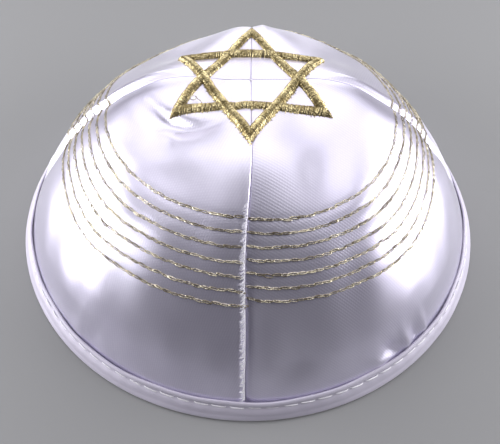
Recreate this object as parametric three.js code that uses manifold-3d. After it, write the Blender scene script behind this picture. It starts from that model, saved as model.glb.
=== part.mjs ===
// Kippah skullcap. Four satin panels are sewn into a shallow cap, a folded tape binds the rim, and a
// six-pointed star is embroidered over the crown, where the four seams meet.
// Millimetres, +Z up. The cap stands on its rim on z = 0 with its front seam towards -Y, and the
// origin is on the ground below the crown. An azimuth is counted from the front seam towards +X,
// and an arc is the length over the cloth from the crown.
import * as THREE from 'three';
import { mergeVertices } from 'three/addons/utils/BufferGeometryUtils.js';
import Module from 'manifold-3d';

const wasm = await Module();
wasm.setup();

// Cloth. The panels end above the ground, inside the binding.
const CLOTH_WALL = 1.2;
const PIECE_GAP = 0.3;
const PANEL_HEM_HEIGHT = 2.4;
const PANEL_STEPS = 17;
const SEAM_WIDTH = 3.5;
const RIDGE_WIDTH = 1.9;

// Arcs between which the cloth is free to fold: it lies smooth under the star and in the binding.
const RELIEF_START = 18;
const RELIEF_FULL = 36;
const RELIEF_END = 90;
const RELIEF_HEM_MARGIN = 3;

// Rim binding
const TAPE_LAYER = 1.0;
const TAPE_WIDTH = 6.1;
const RIM_STEPS = 96;

// Star. STAR_REACH is the arc from the crown to a tip.
const STAR_REACH = 28;
const STAR_BAND = 3.1;
const STAR_RISE = 0.9;
const STAR_UNDER_SHARE = 0.85;
const STAR_GAP = 0.55;
const STAR_STEPS = 10;

// Outside of the panels from the crown to the ground, one row for each bend of the cloth.
const SECTIONS = [
  { bend: 'crown', radius: 0, height: 56.0 },
  { bend: 'inside the star', radius: 10, height: 56.3 },
  { bend: 'star', radius: 21, height: 56.8 },
  { bend: 'shoulder', radius: 31.5, height: 55.0 },
  { bend: 'below the shoulder', radius: 41.5, height: 49.6 },
  { bend: 'upper side', radius: 51, height: 42.6 },
  { bend: 'side', radius: 59.5, height: 34.4 },
  { bend: 'lower side', radius: 68, height: 24.6 },
  { bend: 'above the hem', radius: 76, height: 13.6 },
  { bend: 'rim', radius: 83.6, height: 0 },
];

// The middle of each panel against the line of its seams: flat over the shoulder, so that the crown
// has four soft corners, and a little full lower down. length is the bump's reach along the slope.
const SWELLS = [
  { name: 'flat shoulder', arc: 34, length: 34, rise: -4.1 },
  { name: 'full lower side', arc: 86, length: 22, rise: 0.8 },
];
const SWELL_START = 22;

// Each seam draws the cloth in along a valley, and on one side of it the spare cloth of a panel
// stands up as a ridge. side is +1 for the ridge on the side of the larger azimuth.
const SEAMS = [
  { name: 'front', azimuth: 0, valley: 0.4, ridge: 0.4, side: -1, offset: 1.6 },
  { name: 'right', azimuth: 90, valley: 0.5, ridge: 0.4, side: 1, offset: 3.2 },
  { name: 'back', azimuth: 180, valley: 0.3, ridge: 0.4, side: -1, offset: 4.0 },
  { name: 'left', azimuth: 270, valley: 0.8, ridge: 1.1, side: -1, offset: 3.2 },
];

// Folds and puckers. heading is the angle of the long axis from the line down the slope, towards
// the larger azimuth, and a negative rise is a dent.
const FOLDS = [
  { name: 'fold below the star', azimuth: -46, arc: 28, heading: -62, length: 26, width: 6, rise: -2.1 },
  { name: 'swell below that fold', azimuth: -44, arc: 40, heading: -62, length: 26, width: 9, rise: 0.7 },
  { name: 'left panel swell', azimuth: -45, arc: 74, heading: 0, length: 44, width: 26, rise: 1.5 },
  { name: 'right panel swell', azimuth: 45, arc: 70, heading: 0, length: 48, width: 28, rise: 1.2 },
  { name: 'front hollow', azimuth: 12, arc: 88, heading: 0, length: 26, width: 12, rise: -0.9 },
  { name: 'hem pucker', azimuth: 34, arc: 92, heading: 35, length: 9, width: 3.5, rise: -0.9 },
  { name: 'hem pucker swell', azimuth: 40, arc: 93, heading: 35, length: 9, width: 3.5, rise: 0.6 },
  { name: 'back hollow', azimuth: 150, arc: 80, heading: 0, length: 34, width: 18, rise: -1.0 },
  { name: 'back left hollow', azimuth: 217, arc: 53, heading: 0, length: 54, width: 58, rise: -2.0 },
];

const profile = new THREE.SplineCurve(SECTIONS.map((s) => new THREE.Vector2(s.radius, s.height)));
profile.arcLengthDivisions = 2000;
const SLOPE_LENGTH = profile.getLength();

const radians = THREE.MathUtils.degToRad;
const signedTurn = (degrees) => ((((degrees + 180) % 360) + 360) % 360) - 180;
const bell = (distance, width) => Math.exp(-((distance / width) ** 2));

// Radius, height and outward normal of the unwrinkled cloth at an arc from the crown.
function slopeAt(arc) {
  const share = THREE.MathUtils.clamp(arc / SLOPE_LENGTH, 0, 1);
  const point = profile.getPointAt(share);
  const along = profile.getTangentAt(share);
  return { radius: Math.max(point.x, 0), height: point.y, out: -along.y, up: along.x };
}

// The panels end inside the binding, just above the ground.
let hemArc = SLOPE_LENGTH;
while (slopeAt(hemArc).height < PANEL_HEM_HEIGHT) hemArc -= 0.1;
const HEM_ARC = hemArc;

// How far the panels' flat middles move the cloth along its normal.
function swellAt(arc, azimuth) {
  const middle = (1 - Math.cos(4 * radians(azimuth))) / 2;
  let rise = 0;
  for (const swell of SWELLS) rise += swell.rise * bell(arc - swell.arc, swell.length / 2);
  return rise * middle * THREE.MathUtils.smoothstep(arc, 0, SWELL_START);
}

// How far swells, seams, folds and puckers move the cloth along its normal.
function reliefAt(arc, azimuth) {
  const radius = slopeAt(arc).radius;
  const free = THREE.MathUtils.smoothstep(arc, RELIEF_START, RELIEF_FULL);
  const aboveHem = 1 - THREE.MathUtils.smoothstep(
    arc, RELIEF_END, SLOPE_LENGTH - TAPE_WIDTH - RELIEF_HEM_MARGIN,
  );
  let rise = 0;
  for (const seam of SEAMS) {
    const across = radius * radians(signedTurn(azimuth - seam.azimuth));
    rise -= seam.valley * bell(across, SEAM_WIDTH);
    rise += seam.ridge * bell(across - seam.side * seam.offset, RIDGE_WIDTH);
  }
  for (const fold of FOLDS) {
    const foldRadius = slopeAt(fold.arc).radius;
    const down = arc - fold.arc;
    const across = foldRadius * radians(signedTurn(azimuth - fold.azimuth));
    const turn = radians(fold.heading);
    const lengthwise = down * Math.cos(turn) + across * Math.sin(turn);
    const crosswise = across * Math.cos(turn) - down * Math.sin(turn);
    rise += fold.rise * bell(lengthwise, fold.length / 2) * bell(crosswise, fold.width / 2);
  }
  return (rise * free + swellAt(arc, azimuth)) * aboveHem;
}

// A point at a height above the cloth, with the folds in it.
function overCloth(arc, azimuth, height) {
  const slope = slopeAt(arc);
  const lift = reliefAt(arc, azimuth) + height;
  const radius = slope.radius + slope.out * lift;
  const turn = radians(azimuth);
  return new THREE.Vector3(radius * Math.sin(turn), -radius * Math.cos(turn), slope.height + slope.up * lift);
}

function closedGeometry(points, faces) {
  const geometry = new THREE.BufferGeometry();
  geometry.setAttribute('position', new THREE.Float32BufferAttribute(points.flatMap((p) => p.toArray()), 3));
  geometry.setIndex(faces);
  return geometry;
}

// A quarter of the cap: a square net of cloth, one corner at the crown and the two far sides along
// the hem, with the same net again on the inside and a strip all round its edge.
function panelGeometry(startAzimuth) {
  const cornerRadius = PIECE_GAP / Math.SQRT2;
  const cornerArc = cornerRadius;

  const points = [];
  for (const height of [0, -CLOTH_WALL]) {
    for (let row = 0; row <= PANEL_STEPS; row += 1) {
      for (let column = 0; column <= PANEL_STEPS; column += 1) {
        const reach = Math.max(row, column);
        const arc = cornerArc + (HEM_ARC - cornerArc) * (reach / PANEL_STEPS);
        const margin = THREE.MathUtils.radToDeg(
          Math.asin(Math.min(PIECE_GAP / 2 / Math.max(slopeAt(arc).radius, cornerRadius), Math.SQRT1_2)),
        );
        const half = reach === 0 ? 0.5 : 0.5 * (Math.min(row, column) / reach);
        const share = column <= row ? half : 1 - half;
        points.push(overCloth(arc, startAzimuth + margin + (90 - 2 * margin) * share, height));
      }
    }
  }

  const side = PANEL_STEPS + 1;
  const inner = side * side;
  const faces = [];
  for (let row = 0; row < PANEL_STEPS; row += 1) {
    for (let column = 0; column < PANEL_STEPS; column += 1) {
      const a = row * side + column;
      const [b, c, d] = [a + 1, a + side + 1, a + side];
      const quads = row === column ? [[a, c, b], [a, d, c]] : [[a, d, b], [b, d, c]];
      for (const [p, q, r] of quads) {
        faces.push(p, q, r, p + inner, r + inner, q + inner);
      }
    }
  }
  const edge = [];
  for (let step = 0; step < PANEL_STEPS; step += 1) edge.push(step);
  for (let step = 0; step < PANEL_STEPS; step += 1) edge.push(step * side + PANEL_STEPS);
  for (let step = PANEL_STEPS; step > 0; step -= 1) edge.push(PANEL_STEPS * side + step);
  for (let step = PANEL_STEPS; step > 0; step -= 1) edge.push(step * side);
  edge.forEach((p, index) => {
    const q = edge[(index + 1) % edge.length];
    faces.push(p, q, p + inner, q, q + inner, p + inner);
  });
  return closedGeometry(points, faces);
}

// A tape folded round the hem: a closed section of the tape, swept round the rim.
function bindingGeometry() {
  const outside = PIECE_GAP + TAPE_LAYER;
  const inside = CLOTH_WALL + PIECE_GAP;
  const foldArc = SLOPE_LENGTH;
  const topArc = foldArc - TAPE_WIDTH;
  const middleArc = foldArc - TAPE_WIDTH / 2;
  const rimFlat = slopeAt(foldArc);
  const flatOuter = rimFlat.radius + outside / rimFlat.out;
  const flatInner = rimFlat.radius - (inside + TAPE_LAYER) / rimFlat.out;
  const slotArc = HEM_ARC + PIECE_GAP;

  const section = [];
  const addAt = (arc, height) => {
    const slope = slopeAt(arc);
    section.push([slope.radius + slope.out * height, slope.height + slope.up * height]);
  };
  section.push([flatInner + TAPE_LAYER / 2, 0]);
  section.push([flatOuter - TAPE_LAYER / 2, 0]);
  section.push([flatOuter, TAPE_LAYER / 2]);
  addAt(middleArc, outside);
  addAt(topArc, outside - TAPE_LAYER / 4);
  addAt(topArc - TAPE_LAYER / 4, outside - TAPE_LAYER / 2);
  addAt(topArc, PIECE_GAP);
  addAt(middleArc, PIECE_GAP);
  addAt(slotArc, PIECE_GAP);
  addAt(slotArc, -inside);
  addAt(middleArc, -inside);
  addAt(topArc, -inside);
  addAt(topArc, -inside - TAPE_LAYER);
  addAt(middleArc, -inside - TAPE_LAYER);
  section.push([flatInner, TAPE_LAYER / 2]);

  const profileShape = section.map(([radius, height]) => new THREE.Vector2(radius, height));
  profileShape.push(profileShape[0].clone());
  return new THREE.LatheGeometry(profileShape, RIM_STEPS).rotateX(Math.PI / 2);
}

function toSolid(geometry) {
  geometry.deleteAttribute('normal');
  geometry.deleteAttribute('uv');
  const merged = mergeVertices(geometry, 1e-4);
  return new wasm.Manifold(new wasm.Mesh({
    numProp: 3,
    vertProperties: new Float32Array(merged.attributes.position.array),
    triVerts: new Uint32Array(merged.index.array),
  }));
}

function toGeometry(solid) {
  const mesh = solid.getMesh();
  const geometry = new THREE.BufferGeometry();
  geometry.setAttribute('position', new THREE.BufferAttribute(new Float32Array(mesh.vertProperties), 3));
  geometry.setIndex(new THREE.BufferAttribute(new Uint32Array(mesh.triVerts), 1));
  return geometry;
}

// One triangle of the star: a domed band of thread, mitred at its three corners and laid over the
// crown. The section runs from the outer edge of the band to the inner one.
function starTriangle(startAzimuth, rise) {
  const section = [
    { across: -0.5, height: STAR_GAP },
    { across: -0.46, height: STAR_GAP + rise * 0.5 },
    { across: -0.2, height: STAR_GAP + rise },
    { across: 0.2, height: STAR_GAP + rise },
    { across: 0.46, height: STAR_GAP + rise * 0.5 },
    { across: 0.5, height: STAR_GAP },
  ];
  const centreReach = STAR_REACH - STAR_BAND;
  const corners = [0, 120, 240].map((turn) => {
    const azimuth = radians(startAzimuth + turn);
    return new THREE.Vector2(centreReach * Math.sin(azimuth), -centreReach * Math.cos(azimuth));
  });

  const points = [];
  corners.forEach((corner, index) => {
    const line = new THREE.Vector2().subVectors(corners[(index + 1) % corners.length], corner);
    const length = line.length();
    const along = line.clone().normalize();
    const inward = new THREE.Vector2(-along.y, along.x);
    for (let step = 0; step < STAR_STEPS; step += 1) {
      for (const { across, height } of section) {
        const mitre = (across * STAR_BAND) / Math.tan(radians(30));
        const distance = THREE.MathUtils.lerp(mitre, length - mitre, step / STAR_STEPS);
        const plan = corner.clone().addScaledVector(along, distance).addScaledVector(inward, across * STAR_BAND);
        const azimuth = THREE.MathUtils.radToDeg(Math.atan2(plan.x, -plan.y));
        points.push(overCloth(plan.length(), azimuth, height));
      }
    }
  });

  const sides = section.length;
  const faces = [];
  for (let ring = 0; ring < points.length; ring += sides) {
    const nextRing = (ring + sides) % points.length;
    for (let corner = 0; corner < sides; corner += 1) {
      const nextCorner = (corner + 1) % sides;
      faces.push(ring + corner, nextRing + corner, ring + nextCorner);
      faces.push(ring + nextCorner, nextRing + corner, nextRing + nextCorner);
    }
  }
  return toSolid(closedGeometry(points, faces));
}

// Two triangles crossed over the crown: the one that points to the front lies over the other.
function starGeometry() {
  return toGeometry(starTriangle(0, STAR_RISE).add(starTriangle(180, STAR_RISE * STAR_UNDER_SHARE)));
}

const satin = () => new THREE.MeshStandardMaterial({ color: 0xf1eef6, roughness: 0.35, metalness: 0 });
const tape = new THREE.MeshStandardMaterial({ color: 0xe9e4f0, roughness: 0.4, metalness: 0 });
const goldThread = new THREE.MeshStandardMaterial({ color: 0xb59a5b, roughness: 0.35, metalness: 0.7 });

const kippah = new THREE.Group();
function addPiece(name, geometry, material) {
  const piece = new THREE.Mesh(geometry, material);
  piece.name = name;
  kippah.add(piece);
}

const PANELS = [
  { name: 'panel_front_right', start: 0 },
  { name: 'panel_back_right', start: 90 },
  { name: 'panel_back_left', start: 180 },
  { name: 'panel_front_left', start: 270 },
];
for (const panel of PANELS) addPiece(panel.name, panelGeometry(panel.start), satin());
addPiece('rim_binding', bindingGeometry(), tape);
addPiece('star_embroidery', starGeometry(), goldThread);

export default kippah;
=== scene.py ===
"""A satin kippah: four gores sewn into a shallow cap, a bound rim, rows of gold stitching and a star.

Metres, +Z up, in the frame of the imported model: the cap stands on the ground with its front seam
towards -Y. The tables hold millimetres of a cap of the nominal rim radius, and Cap.unit turns them
into metres. An azimuth is counted in degrees from the front seam towards +X, an arc is the length
over the cloth from the crown, and a lift is the height over the cloth.
"""
import logging
import math
from dataclasses import dataclass
from enum import Enum

import bpy
import numpy as np
from mathutils import Matrix, Vector


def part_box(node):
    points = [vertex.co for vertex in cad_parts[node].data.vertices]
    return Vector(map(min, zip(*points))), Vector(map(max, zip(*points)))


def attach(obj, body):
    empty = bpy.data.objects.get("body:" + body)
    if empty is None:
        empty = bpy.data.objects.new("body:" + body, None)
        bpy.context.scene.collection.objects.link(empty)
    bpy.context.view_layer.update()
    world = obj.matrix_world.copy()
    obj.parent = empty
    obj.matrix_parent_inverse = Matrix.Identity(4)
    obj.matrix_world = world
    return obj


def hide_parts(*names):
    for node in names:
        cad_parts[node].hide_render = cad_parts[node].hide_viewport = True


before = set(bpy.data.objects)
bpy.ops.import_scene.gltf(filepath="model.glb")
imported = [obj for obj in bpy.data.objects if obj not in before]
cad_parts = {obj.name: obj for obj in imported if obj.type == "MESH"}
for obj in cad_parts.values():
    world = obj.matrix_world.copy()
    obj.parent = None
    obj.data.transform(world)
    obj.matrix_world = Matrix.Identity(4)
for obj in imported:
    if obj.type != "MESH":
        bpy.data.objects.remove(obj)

log = logging.getLogger("kippah")

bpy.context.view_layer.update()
BODY = "root"
NOMINAL_RIM_RADIUS = 85.1
SEED = 11


# ---------------------------------------------------------------------------------------------
# The form of the cap
# ---------------------------------------------------------------------------------------------


@dataclass(frozen=True)
class Bend:
    """A bend of the cloth on its way from the crown to the ground, in millimetres."""

    name: str
    radius: float
    height: float


@dataclass(frozen=True)
class Seam:
    """A seam between two gores: the valley it draws in, and the ridge of spare cloth beside it."""

    name: str
    azimuth: float
    valley: float
    ridge: float
    side: int
    offset: float


@dataclass(frozen=True)
class Swell:
    """How far the middle of every gore lies outside the line of its seams, round one arc."""

    name: str
    arc: float
    length: float
    rise: float


@dataclass(frozen=True)
class Fold:
    """A fold, swell or pucker of the cloth. The heading turns its long axis from the slope's line."""

    name: str
    azimuth: float
    arc: float
    heading: float
    length: float
    width: float
    rise: float


BENDS = (
    Bend("crown", 0.0, 56.0),
    Bend("inside the star", 10.0, 56.3),
    Bend("star", 21.0, 56.8),
    Bend("shoulder", 31.5, 55.0),
    Bend("below the shoulder", 41.5, 49.6),
    Bend("upper side", 51.0, 42.6),
    Bend("side", 59.5, 34.4),
    Bend("lower side", 68.0, 24.6),
    Bend("above the hem", 76.0, 13.6),
    Bend("rim", 83.6, 0.0),
)

SWELLS = (
    Swell("flat shoulder", 34.0, 34.0, -4.1),
    Swell("full lower side", 86.0, 22.0, 0.8),
)

SEAMS = (
    Seam("front", 0.0, 0.4, 0.4, -1, 1.6),
    Seam("right", 90.0, 0.5, 0.4, 1, 3.2),
    Seam("back", 180.0, 0.3, 0.4, -1, 4.0),
    Seam("left", 270.0, 0.8, 0.75, -1, 3.2),
)

FOLDS = (
    Fold("fold below the star", -46.0, 28.0, -62.0, 26.0, 6.0, -2.1),
    Fold("swell below that fold", -44.0, 40.0, -62.0, 26.0, 9.0, 0.7),
    Fold("left panel swell", -45.0, 74.0, 0.0, 44.0, 26.0, 1.5),
    Fold("right panel swell", 45.0, 70.0, 0.0, 48.0, 28.0, 1.2),
    Fold("front hollow", 12.0, 88.0, 0.0, 26.0, 12.0, -0.9),
    Fold("back hollow", 150.0, 80.0, 0.0, 34.0, 18.0, -1.0),
    Fold("back left hollow", 217.0, 53.0, 0.0, 54.0, 58.0, -2.0),
)

FINE_FOLDS = (
    Fold("dimple in the star", -74.0, 9.5, 40.0, 9.0, 4.0, -0.55),
    Fold("crease in the star", -20.0, 12.0, 10.0, 12.0, 3.0, -0.35),
    Fold("pull at the star's tip", -58.0, 31.0, 20.0, 10.0, 5.0, -0.35),
    Fold("mark below the star", -47.0, 34.0, 80.0, 4.0, 2.0, -0.3),
    Fold("deep line of the fold", -47.0, 26.0, -62.0, 24.0, 4.4, -1.3),
    Fold("hem pucker", 33.5, 98.5, 40.0, 10.0, 5.0, -1.1),
    Fold("hem pucker's near swell", 30.0, 101.5, 60.0, 9.0, 3.0, 0.6),
    Fold("hem pucker's far swell", 38.0, 99.5, 10.0, 12.0, 2.8, 0.95),
    Fold("second hem pucker", 41.0, 100.0, 8.0, 9.0, 2.6, -0.8),
    Fold("second hem swell", 44.0, 99.5, 8.0, 13.0, 2.4, 0.85),
    Fold("left hem pucker", -36.0, 98.0, -14.0, 16.0, 5.0, -0.35),
    Fold("left hem swell", -41.0, 98.0, -10.0, 18.0, 4.5, 0.4),
)


class Cap:
    """The surface of the cloth, from which every piece takes its place."""

    CLOTH_WALL = 1.0
    SEAM_WIDTH = 3.5
    RIDGE_WIDTH = 1.9
    RELIEF_START = 18.0
    RELIEF_FULL = 36.0
    RELIEF_END = 90.0
    RELIEF_HEM = 100.2
    SWELL_START = 22.0
    FINE_END = 101.8
    FINE_HEM = 104.0
    SLACK_RISE = 0.16
    SLACK_START = 6.0
    SLACK_FULL = 40.0
    SLACK_END = 92.0
    SLACK_HEM = 102.0
    SAMPLES = 1200

    def __init__(self, rim_radius: float) -> None:
        """Work out the slope of the cloth.

        Args:
            rim_radius: outer radius of the bound rim in metres.
        """
        self.unit = rim_radius / NOMINAL_RIM_RADIUS
        points = np.array([(bend.radius, bend.height) for bend in BENDS])
        position = np.linspace(0, len(points) - 1, self.SAMPLES)
        index = np.minimum(position.astype(int), len(points) - 2)
        share = (position - index)[:, None]
        before, start = points[np.maximum(index - 1, 0)], points[index]
        end, after = points[index + 1], points[np.minimum(index + 2, len(points) - 1)]
        leave, arrive = (end - before) / 2, (after - start) / 2
        line = (
            (2 * start - 2 * end + leave + arrive) * share**3
            + (-3 * start + 3 * end - 2 * leave - arrive) * share**2
            + leave * share
            + start
        )
        steps = np.linalg.norm(np.diff(line, axis=0), axis=1)
        self.arcs = np.concatenate([[0.0], np.cumsum(steps)])
        self.line = line
        along = np.gradient(line, self.arcs, axis=0)
        along /= np.linalg.norm(along, axis=1)[:, None]
        self.normal = np.column_stack([-along[:, 1], along[:, 0]])
        self.length = float(self.arcs[-1])
        generator = np.random.default_rng(SEED)
        self.waves = [
            (
                generator.uniform(0.10, 0.42) * generator.choice([-1, 1]),
                generator.uniform(0.05, 0.22) * generator.choice([-1, 1]),
                generator.uniform(0, 2 * math.pi),
                generator.uniform(0.5, 1.0),
            )
            for _ in range(14)
        ]

    def radius(self, arc: np.ndarray) -> np.ndarray:
        """Return the distance of the cloth from the axis, in millimetres, at each arc."""
        return np.interp(arc, self.arcs, self.line[:, 0])

    def arc_at_height(self, height: float) -> float:
        """Return the arc at which the side of the cap is at a height above the ground."""
        return float(np.interp(-height, -self.line[:, 1][self.arcs > 40], self.arcs[self.arcs > 40]))

    def waver(self, arc: np.ndarray, azimuth: np.ndarray) -> np.ndarray:
        """Return how far the sewn seams wander sideways, in millimetres."""
        near = self.bell(self.off(azimuth, 0.0), 0.5)
        return near * (0.55 * np.sin(arc / 17.0 + 0.4) - 0.25 * np.sin(arc / 7.3))

    @staticmethod
    def bell(distance: np.ndarray, width: float) -> np.ndarray:
        """Return a smooth bump of height one."""
        return np.exp(-((distance / width) ** 2))

    @staticmethod
    def off(azimuth: np.ndarray, centre: float) -> np.ndarray:
        """Return the turn from a centre azimuth, in radians, between minus and plus half a turn."""
        return np.radians((np.asarray(azimuth, dtype=float) - centre + 180.0) % 360.0 - 180.0)

    @staticmethod
    def ease(value: np.ndarray, start: float, end: float) -> np.ndarray:
        """Return a smooth step from 0 at start to 1 at end."""
        share = np.clip((value - start) / (end - start), 0.0, 1.0)
        return share * share * (3.0 - 2.0 * share)

    def fold_relief(self, arc: np.ndarray, azimuth: np.ndarray, folds: tuple[Fold, ...]) -> np.ndarray:
        """Return the rise of a set of folds, in millimetres.

        Args:
            arc: arcs from the crown.
            azimuth: azimuths of the same points.
            folds: the folds to add up.

        Returns:
            The summed rise at each point.
        """
        rise = np.zeros_like(arc)
        for fold in folds:
            down = arc - fold.arc
            across = self.radius(fold.arc) * self.off(azimuth, fold.azimuth)
            turn = math.radians(fold.heading)
            lengthwise = down * math.cos(turn) + across * math.sin(turn)
            crosswise = across * math.cos(turn) - down * math.sin(turn)
            rise += fold.rise * self.bell(lengthwise, fold.length / 2) * self.bell(crosswise, fold.width / 2)
        return rise

    def swell(self, arc: np.ndarray, azimuth: np.ndarray) -> np.ndarray:
        """Return how far the gores' flat middles move the cloth along its normal."""
        rise = sum(swell.rise * self.bell(arc - swell.arc, swell.length / 2) for swell in SWELLS)
        return rise * (1.0 - np.cos(4.0 * np.radians(azimuth))) / 2.0 * self.ease(arc, 0.0, self.SWELL_START)

    def relief(self, arc: np.ndarray, azimuth: np.ndarray) -> np.ndarray:
        """Return how far seams, folds and slack move the cloth along its normal, in millimetres.

        Args:
            arc: arcs from the crown.
            azimuth: azimuths of the same points.

        Returns:
            The rise at each point.
        """
        radius = self.radius(arc)
        rise = np.zeros_like(arc)
        for seam in SEAMS:
            across = radius * self.off(azimuth, seam.azimuth)
            rise -= seam.valley * self.bell(across, self.SEAM_WIDTH)
            rise += seam.ridge * self.bell(across - seam.side * seam.offset, self.RIDGE_WIDTH)
        rise += self.fold_relief(arc, azimuth, FOLDS)
        fade_in = self.ease(arc, self.RELIEF_START, self.RELIEF_FULL)
        fade_out = 1.0 - self.ease(arc, self.RELIEF_END, self.RELIEF_HEM)
        rise = (rise * fade_in + self.swell(arc, azimuth)) * fade_out
        fine_fade = 1.0 - self.ease(arc, self.FINE_END, self.FINE_HEM)
        rise += self.fold_relief(arc, azimuth, FINE_FOLDS) * fine_fade
        turn = self.off(azimuth, 0.0)
        x, y = arc * np.sin(turn), -arc * np.cos(turn)
        slack = sum(weight * np.sin(a * x + b * y + phase) for a, b, phase, weight in self.waves)
        loose = self.ease(arc, self.SLACK_START, self.SLACK_FULL)
        loose *= 1.0 - self.ease(arc, self.SLACK_END, self.SLACK_HEM)
        return rise + self.SLACK_RISE * slack * loose / 3.0

    def place(self, arc: np.ndarray, azimuth: np.ndarray, lift: np.ndarray) -> np.ndarray:
        """Return points over the folded cloth.

        Args:
            arc: arcs from the crown, in millimetres.
            azimuth: azimuths in degrees.
            lift: heights over the cloth, in millimetres.

        Returns:
            Points in metres, one row each.
        """
        arc, azimuth, lift = np.broadcast_arrays(
            np.asarray(arc, dtype=float), np.asarray(azimuth, dtype=float), np.asarray(lift, dtype=float)
        )
        high = lift + self.relief(arc, azimuth)
        out = np.interp(arc, self.arcs, self.normal[:, 0])
        up = np.interp(arc, self.arcs, self.normal[:, 1])
        radius = self.radius(arc) + out * high
        height = np.interp(arc, self.arcs, self.line[:, 1]) + up * high
        turn = np.radians(azimuth)
        return np.stack([radius * np.sin(turn), -radius * np.cos(turn), height], axis=-1) * self.unit

    def place_plan(self, plan: np.ndarray, lift: np.ndarray) -> np.ndarray:
        """Return points over the crown from a flat plan whose origin is the crown.

        Args:
            plan: plan points in millimetres, with -Y to the front.
            lift: heights over the cloth, in millimetres.

        Returns:
            Points in metres, one row each.
        """
        arc = np.hypot(plan[..., 0], plan[..., 1])
        azimuth = np.degrees(np.arctan2(plan[..., 0], -plan[..., 1]))
        return self.place(arc, azimuth, lift)


# ---------------------------------------------------------------------------------------------
# Making meshes
# ---------------------------------------------------------------------------------------------


def select_only(piece: bpy.types.Object) -> None:
    """Make one object the only selected and active one.

    Args:
        piece: the object.
    """
    bpy.ops.object.select_all(action="DESELECT")
    piece.select_set(True)
    bpy.context.view_layer.objects.active = piece


def edit_all(piece: bpy.types.Object) -> None:
    """Open an object for editing with all of it selected.

    Args:
        piece: the object.
    """
    select_only(piece)
    bpy.ops.object.mode_set(mode="EDIT")
    bpy.ops.mesh.select_all(action="SELECT")


def read_points(piece: bpy.types.Object) -> np.ndarray:
    """Return the vertices of a mesh.

    Args:
        piece: the object that has the mesh.

    Returns:
        The vertices, one row each.
    """
    points = np.empty(len(piece.data.vertices) * 3, dtype=np.float64)
    piece.data.vertices.foreach_get("co", points)
    return points.reshape(-1, 3)


def write_points(piece: bpy.types.Object, points: np.ndarray) -> None:
    """Move the vertices of a mesh to new places."""
    piece.data.vertices.foreach_set("co", points.astype(np.float32).ravel())
    piece.data.update()


def make_net(name: str, columns: int, rows: int) -> tuple[bpy.types.Object, np.ndarray]:
    """Add a flat net of cloth whose points are still to be laid.

    Args:
        name: name of the new object.
        columns: cells along the net's first side.
        rows: cells along the net's second side.

    Returns:
        The object, and for each vertex its place in the net, from 0 to 1 both ways.
    """
    bpy.ops.object.select_all(action="DESELECT")
    bpy.ops.mesh.primitive_grid_add(x_subdivisions=columns, y_subdivisions=rows, size=1.0)
    net = bpy.context.object
    net.name = name
    net.data.name = name
    return net, read_points(net)[:, :2] + 0.5


def face_outward(piece: bpy.types.Object, inside: tuple[float, float, float]) -> None:
    """Turn a net over if its faces look the wrong way.

    Args:
        piece: the net.
        inside: a point that the faces look away from.
    """
    faces = piece.data.polygons
    looks = sum(face.area * face.normal.dot(face.center - Vector(inside)) for face in faces)
    if looks < 0:
        edit_all(piece)
        bpy.ops.mesh.flip_normals()
        bpy.ops.object.mode_set(mode="OBJECT")


def thicken(piece: bpy.types.Object, thickness: float) -> None:
    """Give a net a wall on its inner side and smooth it.

    Args:
        piece: the net.
        thickness: wall in metres.
    """
    select_only(piece)
    wall = piece.modifiers.new("wall", "SOLIDIFY")
    wall.thickness = thickness
    wall.offset = -1.0
    bpy.ops.object.modifier_apply(modifier=wall.name)
    bpy.ops.object.shade_smooth()


def set_layout(piece: bpy.types.Object, layout: np.ndarray) -> None:
    """Write a flat layout into the piece's UV map.

    Args:
        piece: the piece.
        layout: the flat place of each vertex, one row each.
    """
    loops = np.empty(len(piece.data.loops), dtype=np.int32)
    piece.data.loops.foreach_get("vertex_index", loops)
    piece.data.uv_layers.active.data.foreach_set("uv", layout[loops].astype(np.float32).ravel())


@dataclass(frozen=True)
class Strand:
    """One length of thread: its points in metres, and its thickness at each point as a share."""

    points: np.ndarray
    taper: np.ndarray
    closed: bool = False


def lay_strands(name: str, strands: list[Strand], radius: float, roundness: int = 1) -> bpy.types.Object:
    """Make threads from their routes.

    Args:
        name: name of the new piece.
        strands: the threads.
        radius: radius of a thread in metres.
        roundness: how round the section is: 0 has 4 sides and 1 has 6.

    Returns:
        One mesh that holds all of the threads.
    """
    curve = bpy.data.curves.new(name, "CURVE")
    curve.dimensions = "3D"
    curve.bevel_depth = radius
    curve.bevel_resolution = roundness
    curve.use_fill_caps = True
    for strand in strands:
        spline = curve.splines.new("POLY")
        spline.points.add(len(strand.points) - 1)
        spline.points.foreach_set("co", np.column_stack([strand.points, np.ones(len(strand.points))]).ravel())
        spline.points.foreach_set("radius", np.asarray(strand.taper, dtype=np.float32))
        spline.use_cyclic_u = strand.closed
    piece = bpy.data.objects.new(name, curve)
    bpy.context.collection.objects.link(piece)
    select_only(piece)
    bpy.ops.object.convert(target="MESH")
    bpy.ops.object.shade_smooth()
    return bpy.context.object


# ---------------------------------------------------------------------------------------------
# Finishes
# ---------------------------------------------------------------------------------------------


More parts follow.
